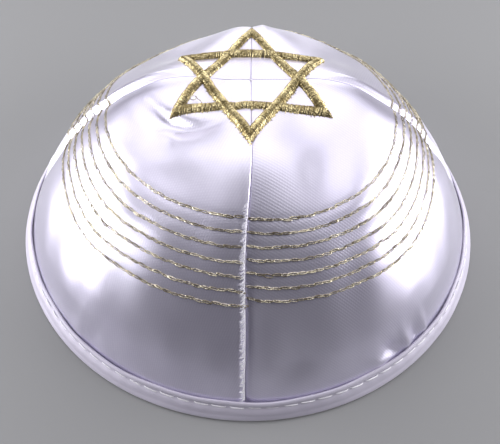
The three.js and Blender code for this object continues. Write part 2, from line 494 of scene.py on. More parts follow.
class Nodes:
    """A short way to place and join shader nodes."""

    def __init__(self, tree: bpy.types.NodeTree) -> None:
        """Start from an empty tree."""
        self.tree = tree
        tree.nodes.clear()

    def add(self, kind: str, **values: object) -> bpy.types.Node:
        """Place a node.

        Args:
            kind: the node's type.
            values: settings of the node, and inputs by name with spaces as underscores.

        Returns:
            The node.
        """
        node = self.tree.nodes.new(kind)
        for key, value in values.items():
            socket = next((s for s in node.inputs if s.name == key.replace("_", " ")), None)
            target = socket if socket is not None and not hasattr(type(node), key) else None
            if isinstance(value, bpy.types.NodeSocket):
                self.tree.links.new(value, target)
            elif target is not None:
                target.default_value = value
            else:
                setattr(node, key, value)
        return node

    def link(self, start: bpy.types.NodeSocket, end: bpy.types.NodeSocket) -> None:
        """Join two sockets."""
        self.tree.links.new(start, end)

    def feed(self, socket: bpy.types.NodeSocket, value: object) -> None:
        """Give an input socket another socket's result, or a plain value.

        Args:
            socket: the input socket.
            value: a socket to join it to, or the value to set.
        """
        if isinstance(value, bpy.types.NodeSocket):
            self.link(value, socket)
        else:
            socket.default_value = value

    def maths(self, operation: str, first: object, second: object = 0.0) -> bpy.types.NodeSocket:
        """Place a Math node.

        Args:
            operation: the node's operation.
            first: its first input, as a socket or a number.
            second: its second input, as a socket or a number.

        Returns:
            The node's result.
        """
        node = self.tree.nodes.new("ShaderNodeMath")
        node.operation = operation
        for socket, value in zip(node.inputs, (first, second)):
            self.feed(socket, value)
        return node.outputs[0]

    def wave(self, value: bpy.types.NodeSocket) -> bpy.types.NodeSocket:
        """Return a wave between 0 and 1 that repeats at every whole number."""
        swing = self.maths("SINE", self.maths("MULTIPLY", value, 2 * math.pi))
        return self.maths("ADD", self.maths("MULTIPLY", swing, 0.5), 0.5)

    def blend(self, factor: object, first: object, second: object) -> bpy.types.NodeSocket:
        """Place a colour Mix node.

        Args:
            factor: how much of the second colour shows, as a socket or a number.
            first: the first colour.
            second: the second colour.

        Returns:
            The mixed colour.
        """
        node = self.tree.nodes.new("ShaderNodeMix")
        node.data_type = "RGBA"
        for place, value in ((0, factor), (6, first), (7, second)):
            self.feed(node.inputs[place], value)
        return node.outputs[2]


def make_group(
    name: str, inputs: dict[str, tuple[str, float]], outputs: dict[str, str]
) -> tuple[bpy.types.NodeTree, Nodes, bpy.types.Node, bpy.types.Node]:
    """Make an empty shader node group with named sockets.

    Args:
        name: the group's name.
        inputs: socket name to its type and default value.
        outputs: socket name to its type.

    Returns:
        The group, a Nodes helper on it, and its input and output nodes.
    """
    group = bpy.data.node_groups.new(name, "ShaderNodeTree")
    for socket, (kind, default) in inputs.items():
        made = group.interface.new_socket(socket, in_out="INPUT", socket_type=kind)
        if kind == "NodeSocketFloat":
            made.default_value = default
    for socket, kind in outputs.items():
        group.interface.new_socket(socket, in_out="OUTPUT", socket_type=kind)
    nodes = Nodes(group)
    return group, nodes, nodes.add("NodeGroupInput"), nodes.add("NodeGroupOutput")


class SharedPatterns:
    """Node groups that more than one finish uses."""

    STEP_ALONG = 0.91
    STEP_ACROSS = -0.42
    SLUB_SCALE = 900.0
    PATCH_SCALE = 260.0
    PATCH_WEIGHT = 0.4
    MASK_CENTRE = 0.70
    MASK_STEEPNESS = 3.0

    def __init__(self) -> None:
        """Build the groups once."""
        self.weave = self._weave()
        self.glint = self._glint()

    @classmethod
    def _weave(cls) -> bpy.types.NodeTree:
        """Make the satin weave: ribs of floats that step on along a diagonal, from the flat layout.

        Returns:
            The group, with the height of the weave and a shade for its colour.
        """
        group, nodes, start, end = make_group(
            "satin_weave",
            {
                "Layout": ("NodeSocketVector", 0.0),
                "Float Spacing": ("NodeSocketFloat", 0.0008),
                "Slant": ("NodeSocketFloat", 0.9),
            },
            {"Height": "NodeSocketFloat", "Shade": "NodeSocketFloat"},
        )
        turned = nodes.add("ShaderNodeVectorRotate", rotation_type="Z_AXIS")
        nodes.link(start.outputs["Layout"], turned.inputs["Vector"])
        nodes.link(start.outputs["Slant"], turned.inputs["Angle"])
        parts = nodes.add("ShaderNodeSeparateXYZ")
        nodes.link(turned.outputs["Vector"], parts.inputs[0])
        across = nodes.maths("DIVIDE", parts.outputs["X"], start.outputs["Float Spacing"])
        along = nodes.maths("DIVIDE", parts.outputs["Y"], start.outputs["Float Spacing"])
        slope_along = nodes.maths("MULTIPLY", along, cls.STEP_ALONG)
        slope_across = nodes.maths("MULTIPLY", across, cls.STEP_ACROSS)
        steps = nodes.wave(nodes.maths("ADD", slope_along, slope_across))
        ribs = nodes.maths("ADD", nodes.maths("MULTIPLY", nodes.wave(across), 0.5), 0.5)
        height = nodes.maths("MULTIPLY", steps, ribs)
        nodes.link(height, end.inputs["Height"])
        slub = nodes.add("ShaderNodeTexNoise", Scale=cls.SLUB_SCALE, Detail=2.0)
        nodes.link(start.outputs["Layout"], slub.inputs["Vector"])
        woven = nodes.maths("MULTIPLY", height, 0.6)
        shade = nodes.maths("ADD", woven, nodes.maths("MULTIPLY", slub.outputs[0], 0.4))
        nodes.link(shade, end.inputs["Shade"])
        return group

    @classmethod
    def _glint(cls) -> bpy.types.NodeTree:
        """Make the broken light of wound foil: bright and dark flecks on a thread.

        Returns:
            The group, with the mask of the flecks and their height.
        """
        group, nodes, start, end = make_group(
            "foil_glint",
            {
                "Fleck Size": ("NodeSocketFloat", 0.0004),
                "Contrast": ("NodeSocketFloat", 1.0),
                "Level": ("NodeSocketFloat", 0.5),
            },
            {"Mask": "NodeSocketFloat", "Height": "NodeSocketFloat"},
        )
        place = nodes.add("ShaderNodeTexCoord")
        density = nodes.maths("DIVIDE", 1.0, start.outputs["Fleck Size"])
        flecks = nodes.add("ShaderNodeTexNoise", Detail=3.0, Roughness=0.65)
        nodes.link(place.outputs["Object"], flecks.inputs["Vector"])
        nodes.link(density, flecks.inputs["Scale"])
        patches = nodes.add("ShaderNodeTexNoise", Scale=cls.PATCH_SCALE, Detail=1.0)
        nodes.link(place.outputs["Object"], patches.inputs["Vector"])
        weighted = nodes.maths("MULTIPLY", patches.outputs[0], cls.PATCH_WEIGHT)
        mixed = nodes.maths("ADD", flecks.outputs[0], weighted)
        centred = nodes.maths("SUBTRACT", mixed, cls.MASK_CENTRE)
        spread = nodes.maths("MULTIPLY", centred, start.outputs["Contrast"])
        steep = nodes.maths("MULTIPLY", spread, cls.MASK_STEEPNESS)
        mask = nodes.add("ShaderNodeClamp")
        nodes.link(nodes.maths("ADD", steep, start.outputs["Level"]), mask.inputs[0])
        nodes.link(mask.outputs[0], end.inputs["Mask"])
        nodes.link(flecks.outputs[0], end.inputs["Height"])
        return group


def new_material(name: str) -> tuple[bpy.types.Material, Nodes, bpy.types.Node]:
    """Make a material with one shader and its output.

    Args:
        name: the material's name.

    Returns:
        The material, a Nodes helper on it, and its Principled shader.
    """
    material = bpy.data.materials.new(name)
    material.use_nodes = True
    nodes = Nodes(material.node_tree)
    shader = nodes.add("ShaderNodeBsdfPrincipled")
    output = nodes.add("ShaderNodeOutputMaterial")
    nodes.link(shader.outputs[0], output.inputs[0])
    return material, nodes, shader


@dataclass(frozen=True)
class SatinFinish:
    """Glossy white satin, woven with long floats."""

    name: str
    bright: tuple[float, float, float] = (0.84, 0.81, 0.96)
    shade: tuple[float, float, float] = (0.68, 0.64, 0.82)
    roughness: float = 0.36
    metal: float = 0.8
    spacing: float = 0.0008
    slant: float = -math.pi / 4
    relief: float = 0.13

    def build(self, patterns: SharedPatterns) -> bpy.types.Material:
        """Make the material.

        Args:
            patterns: the shared node groups.

        Returns:
            The material.
        """
        material, nodes, shader = new_material(self.name)
        layout = nodes.add("ShaderNodeUVMap")
        weave = nodes.add("ShaderNodeGroup", node_tree=patterns.weave)
        weave.inputs["Float Spacing"].default_value = self.spacing
        weave.inputs["Slant"].default_value = self.slant
        nodes.link(layout.outputs[0], weave.inputs["Layout"])
        place = nodes.add("ShaderNodeTexCoord")
        cloud = nodes.add("ShaderNodeTexNoise", Scale=38.0, Detail=2.0)
        nodes.link(place.outputs["Object"], cloud.inputs["Vector"])
        tint = nodes.maths("ADD", nodes.maths("MULTIPLY", weave.outputs["Shade"], 0.55), cloud.outputs[0])
        colour = nodes.blend(nodes.maths("SUBTRACT", tint, 0.25), (*self.shade, 1.0), (*self.bright, 1.0))
        nodes.link(colour, shader.inputs["Base Color"])
        smoother = nodes.maths("MULTIPLY", weave.outputs["Shade"], -0.08)
        rough = nodes.maths("ADD", smoother, self.roughness + 0.04)
        nodes.link(rough, shader.inputs["Roughness"])
        shader.inputs["Metallic"].default_value = self.metal
        shader.inputs["Anisotropic"].default_value = 0.6
        shader.inputs["Sheen Weight"].default_value = 0.35
        shader.inputs["Sheen Roughness"].default_value = 0.35
        bump = nodes.add("ShaderNodeBump", Strength=self.relief, Distance=0.0002)
        nodes.link(weave.outputs["Height"], bump.inputs["Height"])
        nodes.link(bump.outputs[0], shader.inputs["Normal"])
        return material


@dataclass(frozen=True)
class FoilThreadFinish:
    """Thread wound with metallised foil."""

    name: str
    bright: tuple[float, float, float]
    dark: tuple[float, float, float]
    roughness: float
    fleck: float
    contrast: float
    level: float = 0.5
    metal: float = 0.85

    def build(self, patterns: SharedPatterns) -> bpy.types.Material:
        """Make the material.

        Args:
            patterns: the shared node groups.

        Returns:
            The material.
        """
        material, nodes, shader = new_material(self.name)
        glint = nodes.add("ShaderNodeGroup", node_tree=patterns.glint)
        glint.inputs["Fleck Size"].default_value = self.fleck
        glint.inputs["Contrast"].default_value = self.contrast
        glint.inputs["Level"].default_value = self.level
        colour = nodes.blend(glint.outputs["Mask"], (*self.dark, 1.0), (*self.bright, 1.0))
        nodes.link(colour, shader.inputs["Base Color"])
        smoother = nodes.maths("MULTIPLY", glint.outputs["Mask"], 0.18)
        rough = nodes.maths("SUBTRACT", self.roughness + 0.1, smoother)
        nodes.link(rough, shader.inputs["Roughness"])
        shader.inputs["Metallic"].default_value = self.metal
        bump = nodes.add("ShaderNodeBump", Strength=0.5, Distance=0.00012)
        nodes.link(glint.outputs["Height"], bump.inputs["Height"])
        nodes.link(bump.outputs[0], shader.inputs["Normal"])
        return material


@dataclass(frozen=True)
class SewingThreadFinish:
    """Plain white spun thread with a soft shine."""

    name: str
    bright: tuple[float, float, float] = (0.95, 0.94, 0.97)
    dark: tuple[float, float, float] = (0.72, 0.70, 0.78)

    def build(self, patterns: SharedPatterns) -> bpy.types.Material:
        """Make the material.

        Args:
            patterns: the shared node groups.

        Returns:
            The material.
        """
        material, nodes, shader = new_material(self.name)
        glint = nodes.add("ShaderNodeGroup", node_tree=patterns.glint)
        glint.inputs["Fleck Size"].default_value = 0.0005
        glint.inputs["Contrast"].default_value = 0.8
        colour = nodes.blend(glint.outputs["Mask"], (*self.dark, 1.0), (*self.bright, 1.0))
        nodes.link(colour, shader.inputs["Base Color"])
        shader.inputs["Roughness"].default_value = 0.42
        shader.inputs["Sheen Weight"].default_value = 0.3
        bump = nodes.add("ShaderNodeBump", Strength=0.4, Distance=0.0001)
        nodes.link(glint.outputs["Height"], bump.inputs["Height"])
        nodes.link(bump.outputs[0], shader.inputs["Normal"])
        return material


WHITE_SATIN = SatinFinish("white_satin")
# The tape is the cap's satin with its colours darkened by about a third and a matte gloss: the darkening is
# painted shade of the rim band.
SHADED_BINDING_SATIN = SatinFinish(
    "binding_satin_painted_shade",
    bright=(0.57, 0.54, 0.65),
    shade=(0.45, 0.42, 0.52),
    roughness=0.6,
    metal=0.18,
    spacing=0.0007,
    slant=0.8,
)
STAR_GOLD = FoilThreadFinish(
    "star_gold",
    bright=(0.88, 0.76, 0.45),
    dark=(0.25, 0.19, 0.08),
    roughness=0.25,
    fleck=0.0005,
    contrast=1.5,
    level=0.42,
)
ROW_GOLD = FoilThreadFinish(
    "row_gold",
    bright=(0.88, 0.81, 0.63),
    dark=(0.17, 0.14, 0.10),
    roughness=0.30,
    fleck=0.0005,
    contrast=2.0,
    level=0.36,
)
PADDING_GOLD = FoilThreadFinish(
    "padding_gold",
    bright=(0.26, 0.21, 0.12),
    dark=(0.14, 0.11, 0.06),
    roughness=0.55,
    fleck=0.0004,
    contrast=0.8,
    metal=0.4,
)
WHITE_THREAD = SewingThreadFinish("white_thread")


# ---------------------------------------------------------------------------------------------
# Sub-assemblies
# ---------------------------------------------------------------------------------------------


class Slot(Enum):
    """Material slots of the record."""

    SATIN = "satin"
    TAPE = "binding_tape"
    GOLD = "gold_thread"


def finish_piece(piece: bpy.types.Object, material: bpy.types.Material, node: str | None) -> None:
    """Dress a piece, put it on the cap's body and hide the CAD part that it replaces.

    Args:
        piece: the piece.
        material: its finish.
        node: the CAD node that it replaces, if any.
    """
    piece.data.materials.clear()
    piece.data.materials.append(material)
    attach(piece, BODY)
    if node:
        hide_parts(node)
    log.info("%s: %d faces", piece.name, len(piece.data.polygons))


@dataclass(frozen=True)
class Rows:
    """Where the first row of gold stitching lies at one azimuth, and the step to the next rows."""

    first: float
    pitch: float


@dataclass
class Gore:
    """One satin quarter of the cap with its rows of gold stitching."""

    node: str
    start: float
    at_start: Rows
    at_middle: Rows
    at_end: Rows
    seed: int
    steps: int = 132
    edge_crowding: float = 0.72
    row_count: int = 7
    row_sink: float = 0.10
    link_length: float = 2.35
    link_width: float = 0.27
    thread_radius: float = 0.15
    loose_share: float = 0.012

    def row_arc(self, row: float, azimuth: np.ndarray) -> np.ndarray:
        """Work out where a row of stitching runs.

        Args:
            row: the row's number, from 0 at the top.
            azimuth: azimuths on the gore.

        Returns:
            The row's arc at each azimuth.
        """
        share = (np.asarray(azimuth, dtype=float) - self.start) / 90.0
        ends = [rows.first + row * rows.pitch for rows in (self.at_start, self.at_middle, self.at_end)]
        weights = ((1 - share) * (1 - 2 * share), 4 * share * (1 - share), share * (2 * share - 1))
        return sum(weight * end for weight, end in zip(weights, ends))

    def tuck(self, cap: Cap, arc: np.ndarray, azimuth: np.ndarray) -> np.ndarray:
        """Return how far the cloth turns in at its two seams, in millimetres.

        Args:
            cap: the form of the cap.
            arc: arcs from the crown.
            azimuth: azimuths of the same points.

        Returns:
            The drop at each point, as a negative lift.
        """
        radius = cap.radius(arc)
        drop = np.zeros_like(arc)
        for seam_azimuth, side in ((self.start, 1), (self.start + 90.0, -1)):
            inside = np.abs(radius * np.radians(azimuth - seam_azimuth))
            front = seam_azimuth % 360.0 == 0.0
            edge = np.clip(1.0 - inside / 0.35, 0.0, 1.0) ** 2
            if front and side == -1:
                deepening = cap.ease(arc, 10.0, 42.0)
                drop += 0.26 * cap.bell(inside - 0.5, 0.42) * deepening
                drop -= (0.15 + 0.35 * deepening) * edge
            elif front:
                drop -= (0.12 + 0.60 * cap.ease(arc, 14.0, 44.0)) * np.exp(-inside / 1.4)
            else:
                deep = 0.25 + 0.75 * cap.ease(arc, 12.0, 40.0)
                drop -= 0.25 * deep * np.exp(-inside / 0.9)
                drop -= 0.30 * deep * edge
        return drop * cap.ease(arc, 0.0, 1.5)

    def lift(self, cap: Cap, arc: np.ndarray, azimuth: np.ndarray) -> np.ndarray:
        """Work out the gore's own lift over the cap's form: its tucked edges and sewn-in rows.

        Args:
            cap: the form of the cap.
            arc: arcs from the crown.
            azimuth: azimuths of the same points.

        Returns:
            The lift at each point.
        """
        sink = np.zeros_like(arc)
        for row in range(self.row_count):
            sink -= self.row_sink * cap.bell(arc - self.row_arc(row, azimuth), 0.8)
        return self.tuck(cap, arc, azimuth) + sink

    def build_cloth(self, cap: Cap) -> bpy.types.Object:
        """Lay the gore's net of cloth over the cap.

        Args:
            cap: the form of the cap.

        Returns:
            The cloth, with its wall.
        """
        cloth, net = make_net(f"satin_{self.node}", self.steps, self.steps)
        reach = net.max(axis=1)
        hem = cap.arc_at_height(2.4)
        arc = 0.1 + (hem - 0.1) * reach
        half = 0.5 * np.divide(net.min(axis=1), reach, out=np.ones_like(reach), where=reach > 0)
        share = np.where(net[:, 0] <= net[:, 1], half, 1.0 - half)
        share -= self.edge_crowding * np.sin(2 * np.pi * share) / (2 * np.pi)
        azimuth = self.start + 90.0 * share
        drift = np.degrees(cap.waver(arc, azimuth) / np.maximum(cap.radius(arc), 3.0))
        write_points(cloth, cap.place(arc, azimuth + drift, self.lift(cap, arc, azimuth)))
        from_middle = np.radians(azimuth - self.start - 45.0)
        flat = np.column_stack([arc * np.sin(from_middle), arc * np.cos(from_middle)]) * cap.unit
        set_layout(cloth, flat)
        face_outward(cloth, (0.0, 0.0, -0.05))
        thicken(cloth, cap.CLOTH_WALL * cap.unit)
        return cloth

    def build_rows(self, cap: Cap) -> bpy.types.Object:
        """Sew the rows of gold chain stitch.

        Args:
            cap: the form of the cap.

        Returns:
            All of the gore's rows as one piece.
        """
        generator = np.random.default_rng(self.seed)
        loop = np.linspace(0, 2 * np.pi, 11)[:-1]
        strands = []
        for row in range(self.row_count):
            middle_arc = float(self.row_arc(row, self.start + 45.0))
            turn = math.degrees(self.link_length / float(cap.radius(middle_arc)))
            azimuth = self.start + 0.35 * turn
            while azimuth < self.start + 90.0 - 0.5 * turn:
                centre = azimuth + generator.normal(0, 0.05 * turn)
                wide = self.link_width * generator.uniform(0.75, 1.15)
                slip = generator.normal(0, 0.10)
                if generator.random() < self.loose_share:
                    wide *= generator.uniform(1.5, 2.0)
                    slip += 0.35
                skew = generator.normal(0.10, 0.08)
                high = generator.uniform(0.14, 0.34)
                along = 0.62 * np.cos(loop)
                across = wide * np.sin(loop) * (1.0 - 0.45 * np.cos(loop) ** 2) + skew * np.cos(loop)
                azimuths = centre + along * turn
                arcs = self.row_arc(row, azimuths) + slip + across
                middle = 1.0 - np.abs(np.cos(loop)) ** 2 * 0.8
                rise = self.thread_radius * 0.7 + high * middle * (0.6 + 0.4 * np.sin(loop))
                lifts = rise + self.lift(cap, arcs, azimuths)
                taper = generator.uniform(0.85, 1.2) * (1.0 - 0.35 * np.abs(np.cos(loop)) ** 3)
                strands.append(Strand(cap.place(arcs, azimuths, lifts), taper, closed=True))
                azimuth += turn
        return lay_strands(f"gold_rows_{self.node}", strands, self.thread_radius * cap.unit)

    def build(self, cap: Cap, satin: bpy.types.Material, gold: bpy.types.Material) -> None:
        """Build and dress the gore and its stitching.

        Args:
            cap: the form of the cap.
            satin: finish of the cloth.
            gold: finish of the rows.
        """
        cloth = self.build_cloth(cap)
        finish_piece(cloth, satin, self.node)
        rows = self.build_rows(cap)
        finish_piece(rows, gold, None)


@dataclass
class Binding:
    """The folded tape round the rim and its topstitching."""

    layer: float = 0.85
    gap: float = 0.25
    width: float = 6.1
    steps: int = 420
    stitch_pitch: float = 5.2
    stitch_length: float = 4.5
    stitch_drop: float = 1.9
    stitch_radius: float = 83.0
    thread_radius: float = 0.2

    def outer_lift(self, down: np.ndarray) -> np.ndarray:
        """Work out the shape of the tape's outer face.

        Args:
            down: distances below the tape's upper edge.

        Returns:
            The lift of the face at each distance.
        """
        lip = 0.16 * Cap.bell(down - 0.6, 0.5)
        groove = -0.30 * Cap.bell(down - self.stitch_drop, 0.6)
        roll = 0.40 * Cap.bell(down - 4.4, 1.6)
        edge = -0.40 * self.layer * (1.0 - Cap.ease(down, 0.0, 1.3))
        return self.gap + self.layer + edge + lip + groove + roll

    def section(self, cap: Cap) -> np.ndarray:
        """Work out the tape's closed section.

        Args:
            cap: the form of the cap.

        Returns:
            The section as radius and height pairs, in millimetres.
        """
        top = cap.length - self.width
        downs = np.array([0.12, 0.4, 0.7, 1.0, 1.35, 1.65, 1.9, 2.15, 2.5, 3.0, 3.6, 4.3, 5.2])
        outer = [(top + down, float(self.outer_lift(down))) for down in downs]
        inside = -(cap.CLOTH_WALL + self.gap)
        slot = cap.arc_at_height(2.4) + self.gap
        back = [
            (slot - 0.1, inside - self.layer),
            (top + 3.0, inside - self.layer - 0.12),
            (top + 0.4, inside - self.layer),
            (top, inside - self.layer * 0.5),
            (top + 0.2, inside),
            (top + 3.0, inside),
            (slot, inside),
            (slot, self.gap),
            (top + 3.0, self.gap),
            (top + 0.2, self.gap),
            (top - 0.05, self.gap + self.layer * 0.25),
        ]
        flat_radius = float(cap.radius(cap.length))
        fold = [
            (flat_radius + 1.42, 1.15),
            (flat_radius + 1.45, 0.55),
            (flat_radius + 1.10, 0.12),
            (flat_radius + 0.45, 0.0),
            (flat_radius - 1.6, 0.0),
            (flat_radius - 2.4, 0.25),
            (flat_radius - 2.6, 0.8),
        ]

        def at(arc: float, lift: float) -> tuple[float, float]:
            """Turn an arc and a lift into a radius and a height.

            Args:
                arc: arc from the crown.
                lift: height over the cloth.

            Returns:
                The radius and the height.
            """
            out = float(np.interp(arc, cap.arcs, cap.normal[:, 0]))
            up = float(np.interp(arc, cap.arcs, cap.normal[:, 1]))
            height = float(np.interp(arc, cap.arcs, cap.line[:, 1]))
            return float(cap.radius(arc)) + out * lift, height + up * lift

        return np.array([at(*point) for point in outer] + fold + [at(*point) for point in back])

    def build_tape(self, cap: Cap) -> bpy.types.Object:
        """Spin the section round the rim, then work the hand-sewn unevenness in.

        Args:
            cap: the form of the cap.

        Returns:
            The tape.
        """
        section = self.section(cap)
        bpy.ops.object.select_all(action="DESELECT")
        bpy.ops.mesh.primitive_circle_add(vertices=len(section), radius=1.0, fill_type="NOTHING")
        tape = bpy.context.object
        tape.name = "binding_tape_rim"
        tape.data.name = tape.name
        order = np.argsort(np.arctan2(*read_points(tape)[:, 1::-1].T))
        points = np.zeros((len(section), 3))
        points[order] = np.column_stack([np.zeros(len(section)), -section[:, 0], section[:, 1]]) * cap.unit
        write_points(tape, points)
        edit_all(tape)
        bpy.ops.mesh.spin(steps=self.steps, angle=2 * math.pi, center=(0, 0, 0), axis=(0, 0, 1))
        bpy.ops.mesh.select_all(action="SELECT")
        bpy.ops.mesh.remove_doubles(threshold=1e-6)
        bpy.ops.mesh.normals_make_consistent(inside=False)
        bpy.ops.object.mode_set(mode="OBJECT")
        self.work_uneven(tape, cap)
        bpy.ops.object.shade_smooth()
        return tape

    def work_uneven(self, tape: bpy.types.Object, cap: Cap) -> None:
        """Move the tape's points a little: pulls at the stitches and a second fold at the left front.

        Args:
            tape: the spun tape.
            cap: the form of the cap.
        """
        points = read_points(tape) / cap.unit
        radius = np.hypot(points[:, 0], points[:, 1])
        azimuth = np.degrees(np.arctan2(points[:, 0], -points[:, 1]))
        height = points[:, 2]
        top = cap.length - self.width
        down = np.interp(-height, -cap.line[:, 1][cap.arcs > 60], cap.arcs[cap.arcs > 60]) - top
        outer = radius > np.interp(top + down, cap.arcs, cap.line[:, 0]) + 0.6
        phase = azimuth * math.radians(1.0) * self.stitch_radius / self.stitch_pitch * 2 * math.pi
        pull = -0.10 * np.cos(phase) * Cap.bell(down - self.stitch_drop, 1.2)
        left_front = Cap.ease(azimuth, -78.0, -60.0) * (1.0 - Cap.ease(azimuth, -6.0, 2.0))
        crease = left_front * (-0.26 * Cap.bell(down - 1.15, 0.32) + 0.10 * Cap.bell(down - 2.4, 0.6))
        wave = 0.16 * np.sin(np.radians(azimuth) * 9 + 0.6) + 0.10 * np.sin(np.radians(azimuth) * 23)
        move = np.where(outer, pull + crease, 0.0) + wave * Cap.ease(height, 0.3, 3.0)
        scale = (radius + move) / radius
        points[:, :2] *= scale[:, None]
        write_points(tape, points * cap.unit)

    def build_topstitch(self, cap: Cap) -> bpy.types.Object:
        """Sew the running stitch along the tape.

        Args:
            cap: the form of the cap.

        Returns:
            The stitches as one piece.
        """
        generator = np.random.default_rng(SEED + 3)
        arc = cap.length - self.width + self.stitch_drop
        radius = float(cap.radius(arc))
        count = round(2 * math.pi * radius / self.stitch_pitch)
        share = np.linspace(-0.5, 0.5, 9)
        strands = []
        for index in range(count):
            centre = 360.0 * (index + 0.5) / count + generator.normal(0, 0.06)
            half = math.degrees(self.stitch_length / radius) * generator.uniform(0.92, 1.05)
            azimuths = centre + share * half
            left_front = float(Cap.ease(centre, 280.0, 300.0) * (1.0 - Cap.ease(centre, 352.0, 360.0)))
            dive = 0.34 * np.abs(2 * share) ** 6
            lifts = float(self.outer_lift(self.stitch_drop)) + 0.12 - 0.14 * left_front - dive
            slip = generator.normal(0, 0.05) + 0.10 * np.sin(share * np.pi)
            taper = 1.0 - 0.35 * np.abs(2 * share) ** 3
            strands.append(Strand(cap.place(arc + slip, azimuths, lifts), taper))
        return lay_strands("topstitch_rim", strands, self.thread_radius * cap.unit, roundness=2)

    def build(self, cap: Cap, tape: bpy.types.Material, thread: bpy.types.Material) -> None:
        """Build and dress the tape and its stitching.

        Args:
            cap: the form of the cap.
            tape: finish of the tape, the satin darkened with painted shade.
            thread: finish of the stitches.
        """
        rim = self.build_tape(cap)
        finish_piece(rim, tape, "rim_binding")
        stitches = self.build_topstitch(cap)
        finish_piece(stitches, thread, None)


@dataclass
class Star:
    """The six-pointed star: two triangles of satin stitch crossed over the crown."""

    reach: float = 28.0
    band: float = 3.0
    rise: float = 1.35
    under_rise: float = 0.95
    base_gap: float = 0.12
    thread_radius: float = 0.15
    thread_step: float = 0.26

    def corners(self, start: float) -> list[np.ndarray]:
        """Work out the corners of one triangle's middle line.

        Args:
            start: azimuth of the triangle's first tip.

        Returns:
            The three corners as plan points.
        """
        turns = [math.radians(start + turn) for turn in (0.0, 120.0, 240.0)]
        middle_reach = self.reach - self.band
        return [middle_reach * np.array([math.sin(turn), -math.cos(turn)]) for turn in turns]

    def dome(self, across: np.ndarray, rise: float) -> np.ndarray:
        """Return the lift of the padded band at a share of its width from the middle line."""
        return self.base_gap + rise * np.maximum(1.0 - (2 * across) ** 2, 0.0) ** 0.75

    def bars(self, start: float) -> list[tuple[np.ndarray, np.ndarray, np.ndarray, float]]:
        """Work out the three bars of one triangle.

        Args:
            start: azimuth of the triangle's first tip.

        Returns:
            Each bar's first corner, direction, inward direction and length.
        """
        corners = self.corners(start)
        found = []
        for index, corner in enumerate(corners):
            line = corners[(index + 1) % 3] - corner
            length = float(np.linalg.norm(line))
            along = line / length
            found.append((corner, along, np.array([-along[1], along[0]]), length))
        return found

    def build_padding(self, cap: Cap, start: float, rise: float, name: str) -> bpy.types.Object:
        """Lay the padding under one triangle's threads.

        Args:
            cap: the form of the cap.
            start: azimuth of the triangle's first tip.
            rise: height of the padding.
            name: name of the piece.

        Returns:
            The three mitred bars as one piece.
        """
        made = []
        for index, (corner, along, inward, length) in enumerate(self.bars(start)):
            bar, net = make_net(f"{name}_{index}", 48, 8)
            across = net[:, 1] - 0.5
            mitre = across * self.band / math.tan(math.radians(30.0))
            distance = mitre + (length - 2 * mitre) * net[:, 0]
            plan = corner + distance[:, None] * along + (across * self.band)[:, None] * inward
            write_points(bar, cap.place_plan(plan, self.dome(across, rise) - self.thread_radius * 0.6))
            face_outward(bar, (0.0, 0.0, 0.0))
            thicken(bar, 0.1 * cap.unit)
            made.append(bar)
        bpy.ops.object.select_all(action="DESELECT")
        for bar in made:
            bar.select_set(True)
        bpy.context.view_layer.objects.active = made[0]
        bpy.ops.object.join()
        padding = bpy.context.object
        padding.name = name
        return padding

    def build_threads(self, cap: Cap, start: float, rise: float, name: str, seed: int) -> bpy.types.Object:
        """Lay the satin stitches of one triangle across its bands.

        Args:
            cap: the form of the cap.
            start: azimuth of the triangle's first tip.
            rise: height of the bands.
            name: name of the piece.
            seed: seed of the small unevenness.

        Returns:
            The threads as one piece.
        """
        generator = np.random.default_rng(seed)
        tangent = math.tan(math.radians(30.0))
        half_band = 0.5 * self.band
        strands = []
        for corner, along, inward, length in self.bars(start):
            overhang = half_band / tangent
            distance = -overhang + 0.1
            while distance < length + overhang:
                from_end = min(distance, length - distance)
                inner = min(from_end * tangent, half_band) / self.band
                if inner > -0.5 + 0.04:
                    spans_band = inner > 0.49
                    edge = 0.5 + generator.uniform(-0.03, 0.13)
                    edge += (generator.random() < 0.2) * generator.uniform(0.0, 0.16)
                    far_edge = inner + (generator.uniform(-0.02, 0.06) if spans_band else 0.0)
                    across = np.linspace(-edge, far_edge, 8)
                    lean = generator.normal(0, 0.12) + (0.5 + generator.normal(0, 0.22)) * across
                    plan = (
                        corner
                        + (distance + lean)[:, None] * along
                        + (across * self.band)[:, None] * inward
                    )
                    lifts = self.dome(across, rise) + generator.normal(0, 0.03)
                    lifts[0] = -0.05
                    lifts[-1] = -0.05 if spans_band else lifts[-1]
                    taper = generator.uniform(0.85, 1.12) * np.array([0.7, 1, 1, 1, 1, 1, 1, 0.8])
                    strands.append(Strand(cap.place_plan(plan, lifts), taper))
                distance += self.thread_step * generator.uniform(0.85, 1.15)
        strands += self.tip_strands(cap, start, generator)
        return lay_strands(name, strands, self.thread_radius * cap.unit)

    def tip_strands(self, cap: Cap, start: float, generator: np.random.Generator) -> list[Strand]:
        """Return the few threads that run out over each tip of a triangle.

        Args:
            cap: the form of the cap.
            start: azimuth of the triangle's first tip.
            generator: source of the small unevenness.

        Returns:
            The threads.
        """
        strands = []
        for corner in self.corners(start):
            outward = corner / np.linalg.norm(corner)
            sideways = np.array([-outward[1], outward[0]])
            for _ in range(6):
                out = self.reach - self.band + np.linspace(0.9, self.band + generator.uniform(-0.5, 0.7), 6)
                aside = generator.uniform(-0.55, 0.55) * np.linspace(1.0, 0.25, 6)
                plan = out[:, None] * outward + aside[:, None] * sideways
                lifts = np.array([0.9, 0.85, 0.7, 0.5, 0.28, 0.05]) + generator.uniform(0.0, 0.15)
                strands.append(Strand(cap.place_plan(plan, lifts), np.array([0.8, 1.0, 1.0, 1.0, 0.9, 0.5])))
        return strands

